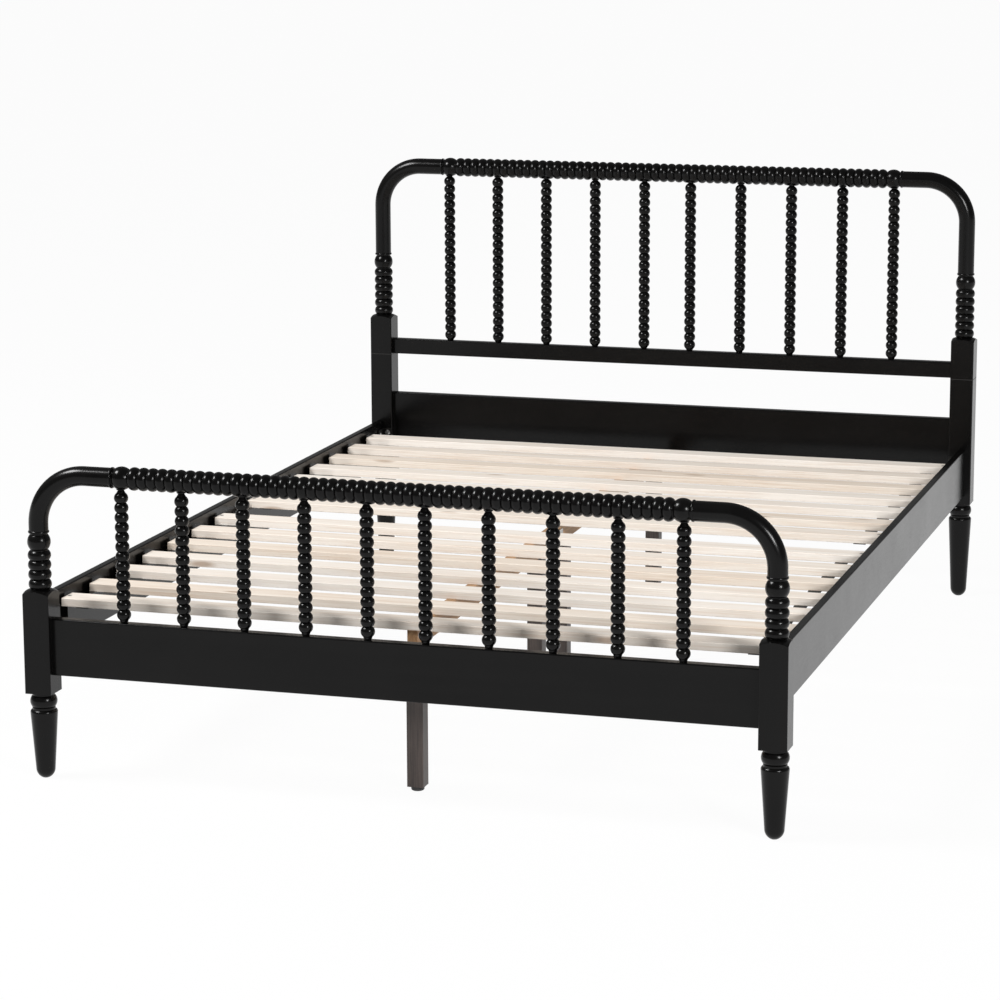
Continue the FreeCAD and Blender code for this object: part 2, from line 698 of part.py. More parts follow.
# ---- spindles
for end, along, seat, start, count, rail_axis in (
        ("foot", "-post_y", "foot_panel_high", "foot_bead_start", "foot_beads", "foot_rail_axis"),
        ("head", "post_y", "head_mid_high", "head_bead_start", "head_beads", "head_rail_axis")):
    first = "%s - %s" % (start, seat)
    last = "%s + (%s - 1) * ring_pitch" % (first, count)
    under = "%s - ring_crest + pad_lift - bore_play - %s" % (rail_axis, seat)
    corners = [
        ("0", "-tenon_deep"),
        ("tenon_radius", "-tenon_deep"),
        ("tenon_radius", "0"),
        ("neck_foot", "0"),
        ("bead_valley", first + " - ring_half"),
        ("neck_low", first + " - ring_half + neck_sunk"),
        ("neck_low", last + " + ring_half - neck_sunk"),
        ("bead_valley", last + " + ring_half"),
        ("neck_top", under),
        ("neck_top", under + " + tenon_deep"),
        ("0", under + " + tenon_deep"),
    ]
    for index in range(2 * spindle_pairs):
        name = "%s_spindle_%02d" % (end, index + 1)
        body = new_body(name)
        turned(body, name + "_stick", corners)
        string_of(body, name + "_beads", "bead_arc", "bead_valley", first, count)
        keep(place(body, spindle_x(index), along, seat))

# ---- turned legs
for end, along, top in (("foot", "-post_y", "foot_block_low"), ("head", "post_y", "head_block_low")):
    collar = "%s - collar_top" % top
    cove = "%s - collar_high" % collar
    shoulder = "%s - cove_high" % cove
    corners = [
        ("0", "0"),
        ("leg_tip", "0"),
        ("leg_low", "tip_high"),
        ("leg_high", shoulder + " - shoulder_high"),
        ("leg_cove", shoulder),
        ("leg_cove", cove),
        ("leg_neck", cove),
        ("leg_neck", collar),
        ("leg_neck", top),
        ("0", top),
    ]
    bore = "%s - stud_deep - bore_play" % top
    wide = "stud_radius + bore_play"
    hollow = [("0", bore), (wide, bore), (wide, top + " + drill_over"), ("0", top + " + drill_over")]
    for sign in (-1, 1):
        name = "leg_%s_%s" % (end, end_name(sign))
        body = new_body(name)
        arcs = {1: ("tip_arc", 1), 3: ("shoulder_arc", 1), 6: ("collar_arc", 1)}
        turned(body, name + "_turning", corners, arcs)
        turned(body, name + "_bore", hollow, kind="PartDesign::Groove")
        keep(place(body, side(sign, "post_x"), along, "0"))

# ---- side rails, ledgers
screws = []
long_screws = []
slat_spots = []
for roll in ("foot_roll_edge", "head_roll_edge"):
    for index in (0, 1):
        slat_spots.append("%s + slat_wide / 2 + %d * (slat_count - 1) * slat_pitch" % (roll, index))
for sign in (-1, 1):
    hand = end_name(sign)
    outward = "+x" if sign > 0 else "-x"
    face = side(sign, "side_rail_in")
    name = "side_rail_" + hand
    blank = bar(name + "_board", "side_rail_thick", "side_rail_tall", "edge_round", "2 * inner_y")
    place(blank, side(sign, "side_rail_out - side_rail_thick / 2"), "-inner_y",
          "(side_rail_low + side_rail_high) / 2", Vec(1, 0, 0), -90)
    drills = []
    for end in (-1, 1):
        for up in ("bolt_low", "bolt_high"):
            spot = (face, side(end, "inner_y - screw_back"), up)
            bore = rod(name + "_plate", "screw_radius + bore_play", "screw_deep + bore_play", outward, *spot)
            drills.append(bore)
            screws.append((outward, side(sign, "side_rail_in - plate_thick"), spot[1], up))
    ledger_drills = []
    for step in (-2, -1, 0, 1, 2):
        along = "%d * ledger_step" % step
        middle = "(ledger_low + ledger_high) / 2"
        drills.append(rod(name + "_strip", "screw_radius + bore_play", "ledger_bite + bore_play",
                          outward, face, along, middle))
        start = side(sign, "side_rail_in - ledger_wide - drill_over")
        ledger_drills.append(rod("ledger_hole", "screw_radius + bore_play", "ledger_wide + 2 * drill_over",
                                 outward, start, along, middle))
        ledger_drills.append(rod("ledger_sink", "screw_head + bore_play", "screw_head_high + drill_over",
                                 outward, start, along, middle))
        across = side(sign, "side_rail_in - ledger_wide + screw_head_high")
        long_screws.append((outward, across, along, middle))
    keep(drilled(name, blank, drills))

    name = "ledger_" + hand
    start = "side_rail_in - ledger_wide" if sign > 0 else "-side_rail_in"
    blank = block(name + "_strip", "ledger_wide", "2 * ledger_half", "ledger_high - ledger_low",
                  start, "-ledger_half", "ledger_low")
    for along in slat_spots:
        across = side(sign, "slat_screw_x")
        ledger_drills.append(rod("ledger_bore", "screw_radius + bore_play", "slat_bite + bore_play", "-z",
                                 across, along, "ledger_high"))
        long_screws.append(("-z", across, along, "ledger_high + slat_thick - screw_head_high"))
    sunk = doc.addObject("Part::Cut", name)
    sunk.Label = name
    blank.Label = name + "_blank"
    sunk.Base = blank
    tools = doc.addObject("Part::MultiFuse", name + "_bores")
    tools.Shapes = ledger_drills
    sunk.Tool = tools
    keep(sunk)

# ---- slats and their webbing
webs = []
for end, roll in (("foot", "foot_roll_edge"), ("head", "head_roll_edge")):
    slats = []
    for index in range(int(value("slat_count"))):
        name = "%s_slat_%d" % (end, index + 1)
        slat = bar(name, "slat_wide", "slat_thick", "slat_round", "2 * slat_half")
        lie = FreeCAD.Rotation(Vec(0, 1, 0), 90) * FreeCAD.Rotation(Vec(0, 0, 1), 90)
        slat.Placement = FreeCAD.Placement(Vec(0, 0, 0), lie)
        along = "%s + slat_wide / 2 + %d * slat_pitch" % (roll, index)
        place(slat, "-slat_half", along, "slat_low + slat_thick / 2")
        slats.append(slat)
    drills = []
    for sign in (-1, 1):
        for along in slat_spots[:2] if end == "foot" else slat_spots[2:]:
            across = side(sign, "slat_screw_x")
            drills.append(rod("slat_hole", "screw_radius + bore_play", "slat_thick + 2 * drill_over", "+z",
                              across, along, "slat_low - drill_over"))
            drills.append(rod("slat_sink", "screw_head + bore_play", "screw_head_high + drill_over", "+z",
                              across, along, "slat_low + slat_thick - screw_head_high"))
        long_web = "(slat_count - 1) * slat_pitch + slat_wide"
        webs.append(block("web", "web_wide", long_web, "web_thick",
                          side(sign, "web_x") + " - web_wide / 2", roll, "slat_low - web_thick"))
    tools = doc.addObject("Part::MultiFuse", end + "_slat_bores")
    tools.Shapes = drills
    cut = doc.addObject("Part::Cut", end + "_slats")
    cut.Label = end + "_slats"
    cut.Base = group(end + "_slat_blanks", slats)
    cut.Tool = tools
    keep(cut)
keep(group("slat_webbing", webs))

# ---- the support down the middle: a beam in two halves on four square legs with screw-in glides
prop_spots = [("foot", "-prop_outer"), ("foot", "-prop_inner"),
              ("head", "prop_inner"), ("head", "prop_outer")]
studs = []
for end, start in (("foot", "-beam_half"), ("head", "0")):
    name = "centre_beam_" + end
    blank = block(name + "_strip", "beam_wide", "beam_half", "beam_tall",
                  "-beam_wide / 2", start, "beam_low")
    drills = []
    for which, along in prop_spots:
        if which == end:
            drills.append(rod(name + "_stud", "stud_radius + bore_play", "stud_deep + bore_play", "+z",
                              "0", along, "beam_low"))
    way_out = -1 if end == "foot" else 1
    for sign in (-1, 1):
        inward = "-x" if sign > 0 else "+x"
        for step in ("splice_near", "splice_far"):
            spot = (side(sign, "beam_wide / 2"), side(way_out, step), "(splice_low + splice_high) / 2")
            bore = rod(name + "_screw", "screw_radius + bore_play", "screw_deep + bore_play", inward, *spot)
            drills.append(bore)
            screws.append((inward, side(sign, "beam_wide / 2 + plate_thick"), spot[1], spot[2]))
    keep(drilled(name, blank, drills))

props = []
drills = []
for index, (end, along) in enumerate(prop_spots):
    name = "prop_%d" % (index + 1)
    props.append(place(bar(name, "prop_side", "prop_side", "slat_round", "beam_low - glide_high"),
                       "0", along, "glide_high"))
    drills.append(rod(name + "_stud", "stud_radius + bore_play", "stud_deep + bore_play", "-z",
                      "0", along, "beam_low"))
    drills.append(rod(name + "_socket", "stem_radius + stem_play", "stem_bore", "+z",
                      "0", along, "glide_high"))
    studs.append(rod("stud_%d" % (index + 1), "stud_radius", "2 * stud_deep", "+z",
                     "0", along, "beam_low - stud_deep"))
keep(drilled("centre_legs", group("centre_leg_bars", props), drills))

corners = [
    ("0", "0"),
    ("glide_radius - glide_round", "0"),
    ("glide_radius", "glide_round"),
    ("glide_radius", "glide_high"),
    ("stem_radius", "glide_high"),
    ("stem_radius", "glide_high + stem_long"),
    ("0", "glide_high + stem_long"),
]
for index, (end, along) in enumerate(prop_spots):
    name = "glide_%d" % (index + 1)
    body = new_body(name)
    turned(body, name + "_turning", corners, {1: ("glide_round", 1)})
    keep(place(body, "0", along, "0"))

# ---- hardware
brackets = []
bolts = []
for sign in (-1, 1):
    for end in (-1, 1):
        name = "bracket_%s%s" % ("foot_" if end < 0 else "head_", end_name(sign))
        tall = "plate_high - plate_low"
        left = "side_rail_in - plate_wide" if sign > 0 else "-side_rail_in"
        near = "inner_y - plate_thick" if end > 0 else "-inner_y"
        leaf = block(name + "_post_leaf", "plate_wide", "plate_thick", tall, left, near, "plate_low")
        left = "side_rail_in - plate_thick" if sign > 0 else "-side_rail_in"
        near = "inner_y - plate_long" if end > 0 else "-inner_y"
        other = block(name + "_rail_leaf", "plate_thick", "plate_long", tall, left, near, "plate_low")
        angle = doc.addObject("Part::Fuse", name + "_angle")
        angle.Base = leaf
        angle.Tool = other
        drills = []
        way = "+y" if end > 0 else "-y"
        for up in ("bolt_low", "bolt_high"):
            across = side(sign, "bolt_x")
            drills.append(rod(name + "_bolt", "bolt_radius + bore_play", "plate_thick + 2 * drill_over", way,
                              across, side(end, "inner_y - plate_thick - drill_over"), up))
            start = side(sign, "side_rail_in - plate_thick / 2") + " - plate_thick / 2 - drill_over"
            drills.append(rod(name + "_screw", "screw_radius + bore_play", "plate_thick + 2 * drill_over",
                              "+x", start, side(end, "inner_y - screw_back"), up))
            bolts.append((way, across, side(end, "inner_y - plate_thick"), up))
        brackets.append(drilled(name, angle, drills))
keep(group("corner_brackets", brackets))


def headed(name, radius, long, head, head_high, spot, raised=True):
    """A bolt or screw: its origin is under the head, its shank runs the given way."""
    body = new_body(name)
    low = "-(%s)" % head_high
    crown = head + " * 0.6" if raised else head
    corners = [("0", low), (crown, low), (head, "0"), (radius, "0"), (radius, long), ("0", long)]
    turned(body, name + "_turning", corners)
    axis, angle = TURNS[spot[0]]
    return place(body, spot[1], spot[2], spot[3], axis, angle)


def headed_row(name, spots, radius, long, head, raised=True):
    """All the bolts or screws of one kind, one at each place of the list."""
    row = []
    for index, spot in enumerate(spots):
        row.append(headed("%s_%02d" % (name, index + 1), radius, long, head, head + "_high", spot, raised))
    return row


keep(group("bed_bolts", headed_row("bolt", bolts, "bolt_radius", "bolt_deep + plate_thick", "bolt_head")))
short = "screw_deep + plate_thick"
keep(group("short_screws", headed_row("short_screw", screws, "screw_radius", short, "screw_head")))
row = headed_row("slat_screw", long_screws, "screw_radius", "slat_screw_long", "screw_head", False)
keep(group("slat_screws", row))

plates = []
for sign in (-1, 1):
    name = "splice_" + end_name(sign)
    left = "beam_wide / 2" if sign > 0 else "-beam_wide / 2 - plate_thick"
    plate = block(name + "_strip", "plate_thick", "2 * splice_half", "splice_high - splice_low", left,
                  "-splice_half", "splice_low")
    drills = []
    for way in (-1, 1):
        for step in ("splice_near", "splice_far"):
            drills.append(rod(name + "_screw", "screw_radius + bore_play", "plate_thick + 2 * drill_over",
                              "+x", left + " - drill_over", side(way, step),
                              "(splice_low + splice_high) / 2"))
    plates.append(drilled(name, plate, drills))
keep(group("splice_plates", plates))

for sign in (-1, 1):
    for along, up in (("-post_y", "foot_block_low"), ("post_y", "head_block_low")):
        studs.append(rod("stud_%d" % (len(studs) + 1), "stud_radius", "2 * stud_deep", "+z",
                         side(sign, "post_x"), along, up + " - stud_deep"))
keep(group("leg_studs", studs))
keep(group("dowels", dowels))

# ---- checks, then one file for each piece
doc.recompute()
faults = []
for obj in doc.Objects:
    if "Invalid" in obj.State or "Error" in obj.State:
        faults.append("%s: %s" % (obj.Name, obj.State))
for obj in nodes:
    if obj.Shape.isNull() or not obj.Shape.isValid():
        faults.append("%s: no valid shape" % obj.Label)
    if not obj.Shape.Solids:
        faults.append("%s: no solid" % obj.Label)
if faults:
    raise SystemExit("\n".join(faults))
whole = FreeCAD.BoundBox()
for obj in nodes:
    obj.Shape.exportStep("parts/%s.step" % obj.Label)
    whole.add(obj.Shape.BoundBox)
    print("%-22s %2d solids %12.0f mm3" % (obj.Label, len(obj.Shape.Solids), obj.Shape.Volume))
print(len(nodes), "nodes", whole)
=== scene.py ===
# %% [markdown]
# # A black spindle bed
#
# The bed is turned and sawn wood: square posts with rings and a ball, plain tubes bent into
# ring-turned rails, and rows of beaded spindles.  Its solids come ready made.  This script gives
# them paint, wood and metal, adds the woven straps and their staples, and sets up a photo studio.

# %% Load the bed
import math

import bmesh
import bpy
from mathutils import Matrix, Vector


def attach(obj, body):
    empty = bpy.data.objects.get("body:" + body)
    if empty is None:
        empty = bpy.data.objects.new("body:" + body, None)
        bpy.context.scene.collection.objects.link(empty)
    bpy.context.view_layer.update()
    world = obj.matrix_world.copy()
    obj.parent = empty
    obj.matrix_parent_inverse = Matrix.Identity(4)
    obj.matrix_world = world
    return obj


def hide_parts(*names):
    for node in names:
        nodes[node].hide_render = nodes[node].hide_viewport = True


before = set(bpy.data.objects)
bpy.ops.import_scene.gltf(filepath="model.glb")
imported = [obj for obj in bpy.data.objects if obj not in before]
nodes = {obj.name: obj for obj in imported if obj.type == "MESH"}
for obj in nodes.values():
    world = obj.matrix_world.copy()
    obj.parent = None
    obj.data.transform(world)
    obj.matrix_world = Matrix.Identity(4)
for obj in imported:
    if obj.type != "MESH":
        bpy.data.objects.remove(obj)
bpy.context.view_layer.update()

# %% [markdown]
# ## The camera
#
# The photograph was taken from the foot's right side with a long lens, from a little above the
# headboard.  The camera could be placed by eye, but its place, direction and lens were worked out
# from the bed's corners instead.  What came out is a turn about the vertical, a tilt down and a
# trace of roll.  A matrix built from the camera's three axes says this more plainly than three
# angles in an order that has to be remembered.

# %% Camera
TURN, TILT, ROLL = (math.radians(angle) for angle in (16.992, 11.419, -0.201))
EYE = Vector((1.9039, -6.5821, 1.7632))
FOCAL_PIXELS, PICTURE_PIXELS, SENSOR = 3352.3, 1000.0, 36.0

ahead = Vector((-math.sin(TURN) * math.cos(TILT), math.cos(TURN) * math.cos(TILT), -math.sin(TILT)))
level = Vector((math.cos(TURN), math.sin(TURN), 0))
upward = level.cross(ahead)
right = level * math.cos(ROLL) + upward * math.sin(ROLL)
top = upward * math.cos(ROLL) - level * math.sin(ROLL)

camera = bpy.data.objects.new("camera", bpy.data.cameras.new("camera"))
camera.data.sensor_width = SENSOR
camera.data.lens = FOCAL_PIXELS * SENSOR / PICTURE_PIXELS
camera.data.clip_end = 200.0
camera.matrix_world = Matrix((right, top, -ahead)).transposed().to_4x4()
camera.location = EYE
bpy.context.scene.collection.objects.link(camera)
bpy.context.scene.camera = camera
print("camera", tuple(round(part, 3) for part in camera.location), "lens", round(camera.data.lens, 1))

# %% [markdown]
# ## A short way to write shader maths
#
# Every finish here mixes noises and ramps.  Wiring nodes one at a time hides the idea, so a small
# class wraps a socket and lets it be added, subtracted and multiplied like a number.  Each sign
# makes one Math node.  `call` makes any other node from its type, its inputs and its settings.

# %% Shader helper
class Wire:
    """One output socket of a node tree."""

    def __init__(self, tree, socket):
        self.tree = tree
        self.socket = socket

    def call(self, kind, inputs, output=0, **settings):
        """A new node: its settings first, then a wire or a plain value for each input."""
        node = self.tree.nodes.new(kind)
        for name, setting in settings.items():
            setattr(node, name, setting)
        pairs = inputs.items() if isinstance(inputs, dict) else enumerate(inputs)
        for name, source in pairs:
            if isinstance(source, Wire):
                self.tree.links.new(source.socket, node.inputs[name])
            else:
                node.inputs[name].default_value = source
        return Wire(self.tree, node.outputs[output])

    def math(self, operation, *inputs):
        """A Math node in this wire's tree, which works on the inputs alone."""
        return self.call("ShaderNodeMath", inputs, operation=operation)

    def __add__(self, other):
        return self.math("ADD", self, other)

    __radd__ = __add__

    def __mul__(self, other):
        return self.math("MULTIPLY", self, other)

    __rmul__ = __mul__

    def __sub__(self, other):
        return self.math("SUBTRACT", self, other)

    def __rsub__(self, other):
        return self.math("SUBTRACT", other, self)

    def absolute(self):
        return self.math("ABSOLUTE", self)

    def floor(self):
        return self.math("FLOOR", self)

    def step(self, low, high, bottom=0.0, ceiling=1.0):
        """This value's way from low to high, stretched to bottom ... ceiling and held there."""
        inputs = {"Value": self, "From Min": low, "From Max": high, "To Min": bottom, "To Max": ceiling}
        return self.call("ShaderNodeMapRange", inputs, clamp=True)

    def blend(self, first, second):
        """Two colours, mixed by this value."""
        return self.call("ShaderNodeMix", {0: self, 6: first, 7: second}, output=2, data_type="RGBA")

    def axes(self):
        """The x, y and z of this position."""
        return [self.call("ShaderNodeSeparateXYZ", [self], output=axis) for axis in range(3)]

    def stretched(self, factors):
        return self.call("ShaderNodeVectorMath", {0: self, 1: factors}, operation="MULTIPLY")

    def noise(self, scale, detail=3.0, stretch=(1, 1, 1), roughness=0.5):
        """Noise at this position; it is drawn out along an axis whose stretch is small."""
        place = self.stretched(stretch)
        inputs = {"Vector": place, "Scale": scale, "Detail": detail, "Roughness": roughness}
        return self.call("ShaderNodeTexNoise", inputs)

    def bump(self, strength, depth):
        return self.call("ShaderNodeBump", {"Height": self, "Strength": strength, "Distance": depth})


def material(name):
    """A new material, its shader, and a wire that carries the object's own position."""
    made = bpy.data.materials.new(name)
    made.use_nodes = True
    tree = made.node_tree
    place = Wire(tree, tree.nodes.new("ShaderNodeTexCoord").outputs["Object"])
    return made, tree.nodes["Principled BSDF"], place


def feed(shader, **sources):
    """Wires and plain values into a shader's sockets: Base_Color=wire, IOR=1.45 and so on."""
    for name, source in sources.items():
        socket = shader.inputs[name.replace("_", " ")]
        if isinstance(source, Wire):
            source.tree.links.new(source.socket, socket)
        else:
            socket.default_value = source


print("shader maths ready")

# %% [markdown]
# ## Black satin paint
#
# Sprayed paint on wood is nearly black with a soft shine.  One flat black would do from afar.
# Close up, the wood's grain still lifts the paint a little along each piece, fine spray roughens
# it, and the shine wanders slowly, so four noises are laid over each other.  The grain has to run
# along each piece, so one recipe is made three times, once for each direction.  The head posts
# have a fourth: their two halves meet at a seam, where the paint dips and is dull.

# %% Paint
PAINT_DEEP, PAINT_WORN = (0.0014, 0.0013, 0.0013, 1), (0.0034, 0.0032, 0.0031, 1)
SEAM_HEIGHT, SEAM_CORE, SEAM_EDGE = 0.5108, 0.0003, 0.0014
SEAM_GREY = (0.030, 0.029, 0.028, 1)
ACROSS, LENGTHWISE, UPRIGHT = (0.04, 1, 1), (1, 0.04, 1), (1, 1, 0.04)


def paint(name, grain, seam=False):
    made, shader, place = material(name)
    fine = place.noise(900, detail=2, stretch=grain)
    cloud = place.noise(38, detail=2, stretch=grain)
    broad = place.noise(7)
    spray = place.noise(1400, detail=1)
    tone = (0.6 * broad + 0.4 * cloud).step(0.35, 0.7)
    colour = tone.blend(PAINT_DEEP, PAINT_WORN)
    gloss = (0.5 * broad + 0.5 * fine).step(0.3, 0.7, bottom=0.17, ceiling=0.25)
    relief = 0.7 * fine + 0.3 * spray
    if seam:
        height = place.axes()[2]
        joint = 1 - (height - SEAM_HEIGHT).absolute().step(SEAM_CORE, SEAM_EDGE)
        colour = (0.8 * joint).blend(colour, SEAM_GREY)
        gloss = gloss + 0.3 * joint
        relief = relief - 3 * joint
    feed(shader, Base_Color=colour, Roughness=gloss, Normal=relief.bump(0.08, 0.0006), IOR=1.28)
    return made


paint_across = paint("paint_across", ACROSS)
paint_lengthwise = paint("paint_lengthwise", LENGTHWISE)
paint_upright = paint("paint_upright", UPRIGHT)
paint_head_posts = paint("paint_head_posts", UPRIGHT, seam=True)
print("paint ready; seam at", SEAM_HEIGHT)

# %% [markdown]
# ## Raw slats
#
# The slats are pale planed softwood.  Each was cut from a different board, so each has its own
# warmth.  Growth lines run along it, bent a little by noise, with a few knots, and its sawn ends
# are darker.  Fourteen materials would give fourteen boards, but the slat's number can be worked
# out from where it lies, and a random value of that number tints it, so a roll needs only one.

# %% Slat wood
SLAT_PITCH, SLAT_WIDE, SLAT_HALF, SLATS_IN_ROLL = 0.130, 0.050, 0.690, 7
FOOT_ROLL_START, HEAD_ROLL_START = -0.928, 0.0405
COOL_PALE, WARM_PALE = (0.86, 0.77, 0.67, 1), (0.93, 0.87, 0.80, 1)
BROWN_LINE, TAN_LINE = (0.68, 0.52, 0.39, 1), (0.78, 0.66, 0.55, 1)
SAWN_END, KNOT = (0.50, 0.36, 0.25, 1), (0.33, 0.19, 0.10, 1)


def slat_wood(name, roll_start):
    made, shader, place = material(name)
    across, along, up = place.axes()
    number = (0.3 + (along - roll_start) * (1 / SLAT_PITCH)).floor()
    tint = number.call("ShaderNodeTexWhiteNoise", {"W": number}, noise_dimensions="1D")
    shift = place.call("ShaderNodeCombineXYZ", [across + number * 3.7, along + tint * 5, up])
    lines = shift.noise(420, detail=4, stretch=(0.018, 1, 1), roughness=0.6)
    bands = shift.noise(46, stretch=(0.05, 1, 0.6), roughness=0.55)
    streak = (0.6 * lines + 0.4 * bands).step(0.44, 0.66)
    board = (0.8 * streak).blend(tint.blend(COOL_PALE, WARM_PALE), tint.blend(BROWN_LINE, TAN_LINE))
    end = across.absolute().step(SLAT_HALF - 0.0015, SLAT_HALF - 0.0001)
    sawn = (0.35 * end).blend(board, SAWN_END)
    ring = shift.call("ShaderNodeTexVoronoi", {"Vector": shift.stretched((3.2, 13, 13)), "Scale": 1.0})
    knot = 1 - ring.step(0.05, 0.11)
    feed(shader, Base_Color=(0.6 * knot).blend(sawn, KNOT), IOR=1.4)
    feed(shader, Roughness=lines.step(0.3, 0.7, bottom=0.55, ceiling=0.72), Normal=lines.bump(0.25, 0.0008))
    return made


slat_finish = {"foot_slats": slat_wood("slats_foot", FOOT_ROLL_START),
               "head_slats": slat_wood("slats_head", HEAD_ROLL_START)}
print("slat wood ready for", ", ".join(slat_finish))

# %% [markdown]
# ## Beam, middle legs and dowels
#
# The beam under the slats is bare, warm brown wood.  The four square legs below it are stained
# nearly black brown, and the grain shows through as lighter upright streaks.  The dowels are
# plain light wood.  All are the slats' idea with fewer layers, so one function takes the two
# colours and the direction.

# %% Other woods
def plain_wood(name, dark, light, grain, gloss, scale=300):
    made, shader, place = material(name)
    lines = place.noise(scale, detail=4, stretch=grain, roughness=0.6)
    bands = place.noise(scale / 9, detail=2, stretch=grain)
    streak = (0.6 * lines + 0.4 * bands).step(0.36, 0.66)
    feed(shader, Base_Color=streak.blend(dark, light), Normal=lines.bump(0.25, 0.0008))
    feed(shader, Roughness=lines.step(0.3, 0.7, bottom=gloss, ceiling=gloss + 0.15))
    return made


beam_wood = plain_wood("beam_wood", (0.30, 0.16, 0.075, 1), (0.52, 0.33, 0.18, 1),
                       grain=(1, 0.02, 1), gloss=0.5)
leg_wood = plain_wood("leg_wood", (0.020, 0.014, 0.012, 1), (0.085, 0.064, 0.056, 1),
                      grain=(1, 1, 0.03), gloss=0.38, scale=420)
dowel_wood = plain_wood("dowel_wood", (0.50, 0.36, 0.22, 1), (0.70, 0.56, 0.38, 1),
                        grain=(1, 1, 0.1), gloss=0.6)
print("beam, leg and dowel wood ready")

# %% [markdown]
# ## Zinc, and steel darkened partly by painted shade
#
# The screws and bolts are zinc-plated steel: grey metal, clouded and faintly scratched.  The
# corner brackets are steel too, coloured near black: partly their own black finish and partly
# painted shade for the shaded corners they sit in.  Both are one recipe with other colours; a
# picture of metal isn't needed, because the shader's metallic reflection does most of the work.

# %% Steel
def steel(name, dark, light):
    made, shader, place = material(name)
    cloud = place.noise(120, detail=4)
    scratch = place.noise(800, detail=2, stretch=(1, 0.05, 1))
    feed(shader, Base_Color=cloud.step(0.35, 0.65).blend(dark, light), Metallic=1.0)
    feed(shader, Roughness=(cloud + scratch).step(0.7, 1.3, bottom=0.3, ceiling=0.5))
    feed(shader, Normal=scratch.bump(0.1, 0.0003))
    return made


zinc = steel("zinc", (0.42, 0.42, 0.41, 1), (0.62, 0.61, 0.58, 1))
# The brackets' near-black colour is partly their own black finish and partly painted shade.
black_steel_with_painted_shade = steel("black_steel_with_painted_shade", (0.030, 0.029, 0.028, 1), (0.050, 0.048, 0.046, 1))
print("steel ready:", zinc.name, "and", black_steel_with_painted_shade.name)

# %% [markdown]
# ## Moulded plastic
#
# The screw-in glides under the middle legs are moulded black plastic.  It is duller than the
# paint, scuffed in wide patches, and slightly pitted by its mould.

# %% Plastic
def moulded():
    made, shader, place = material("moulded_plastic")
    speck = place.noise(1500, detail=2)
    scuff = place.noise(60)
    colour = scuff.step(0.4, 0.7).blend((0.012, 0.012, 0.012, 1), (0.035, 0.034, 0.033, 1))
    feed(shader, Base_Color=colour, Normal=speck.bump(0.15, 0.0003))
    feed(shader, Roughness=scuff.step(0.3, 0.7, bottom=0.42, ceiling=0.6))
    return made


glide_plastic = moulded()
print("plastic ready:", glide_plastic.name)

# %% [markdown]
# ## Woven webbing
#
# The straps under the slats are woven.  Threads could be modelled, but they are thinner than a
# millimetre, so the finish is an over-and-under pattern: two waves at right angles, each shown
# where the other one dips, with a little fuzz over both.

# %% Webbing
WARP_SCALE, WEFT_SCALE = 260.0, 190.0


def woven():
    made, shader, place = material("woven_strap")
    threads = {}
    for direction, scale in (("X", WARP_SCALE), ("Y", WEFT_SCALE)):
        inputs = {"Vector": place, "Scale": scale}
        threads[direction] = place.call("ShaderNodeTexWave", inputs, output=1, bands_direction=direction)
    over = place.math("MAXIMUM", threads["X"], threads["Y"])
    fuzz = place.noise(2500, detail=2)
    colour = (0.7 * over + 0.3 * fuzz).blend((0.008, 0.008, 0.008, 1), (0.050, 0.048, 0.046, 1))
    feed(shader, Base_Color=colour, Normal=over.bump(0.6, 0.0006))
    feed(shader, Roughness=fuzz.step(0.3, 0.7, bottom=0.75, ceiling=0.95))
    return made


webbing = woven()
print("webbing ready:", webbing.name)

# %% [markdown]
# ## Give each piece its finish
#
# The grain runs across the bed in the boards and top rails, lengthwise in the side rails and
# ledgers, and upright in everything that was turned or stood on end.  A piece's name starts with
# what it is, so one list of name starts, read from its first line down, finds every finish.  What
# isn't in it is painted and upright.

# %% Assign finishes
FINISH_BY_START = (
    (("foot_panel", "head_panel", "head_mid_rail", "foot_top_rail", "head_top_rail"), paint_across),
    (("side_rail", "ledger"), paint_lengthwise),
    (("head_lower_post", "head_upper_post"), paint_head_posts),
    (("foot_slats",), slat_finish["foot_slats"]),
    (("head_slats",), slat_finish["head_slats"]),
    (("centre_beam",), beam_wood),
    (("centre_legs",), leg_wood),
    (("dowels",), dowel_wood),
    (("bed_bolts", "short_screws", "slat_screws", "splice_plates", "leg_studs"), zinc),
    (("corner_brackets",), black_steel_with_painted_shade),
    (("glide",), glide_plastic),
    (("slat_webbing",), webbing),
)


def finish_of(name):
    for starts, finish in FINISH_BY_START:
        if name.startswith(starts):
            return finish
    return paint_upright


for name, piece in nodes.items():
    piece.data.materials.clear()
    piece.data.materials.append(finish_of(name))
print("finishes given to", len(nodes), "pieces")

# %% [markdown]
# ## A place for new pieces
#
# The straps and the staples are new pieces.  Each is shaped as a loose mesh first, and this
# helper turns that into an object of the bed, with its finish.

# %% New piece
BED = "bed"


def made_object(name, sheet, finish):
    mesh = bpy.data.meshes.new(name)
    sheet.to_mesh(mesh)
    sheet.free()
    piece = bpy.data.objects.new(name, mesh)
    bpy.context.scene.collection.objects.link(piece)
    mesh.materials.append(finish)
    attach(piece, BED)
    return piece


def verts_in(parts):
    return [part for part in parts if isinstance(part, bmesh.types.BMVert)]


def edges_in(parts):
    return [part for part in parts if isinstance(part, bmesh.types.BMEdge)]


print("new pieces will ride on", BED)

# %% [markdown]
# ## The straps
#
# Two woven straps run under each roll of slats and are stapled to every one.  Between staples the
# strap sags a few millimetres.  A cloth simulation could drop it, but a curve is steadier: a flat
# grid as long as the roll has the strap's outline already, so only its rows between the slats
# are let down, and a solidify gives it thickness.

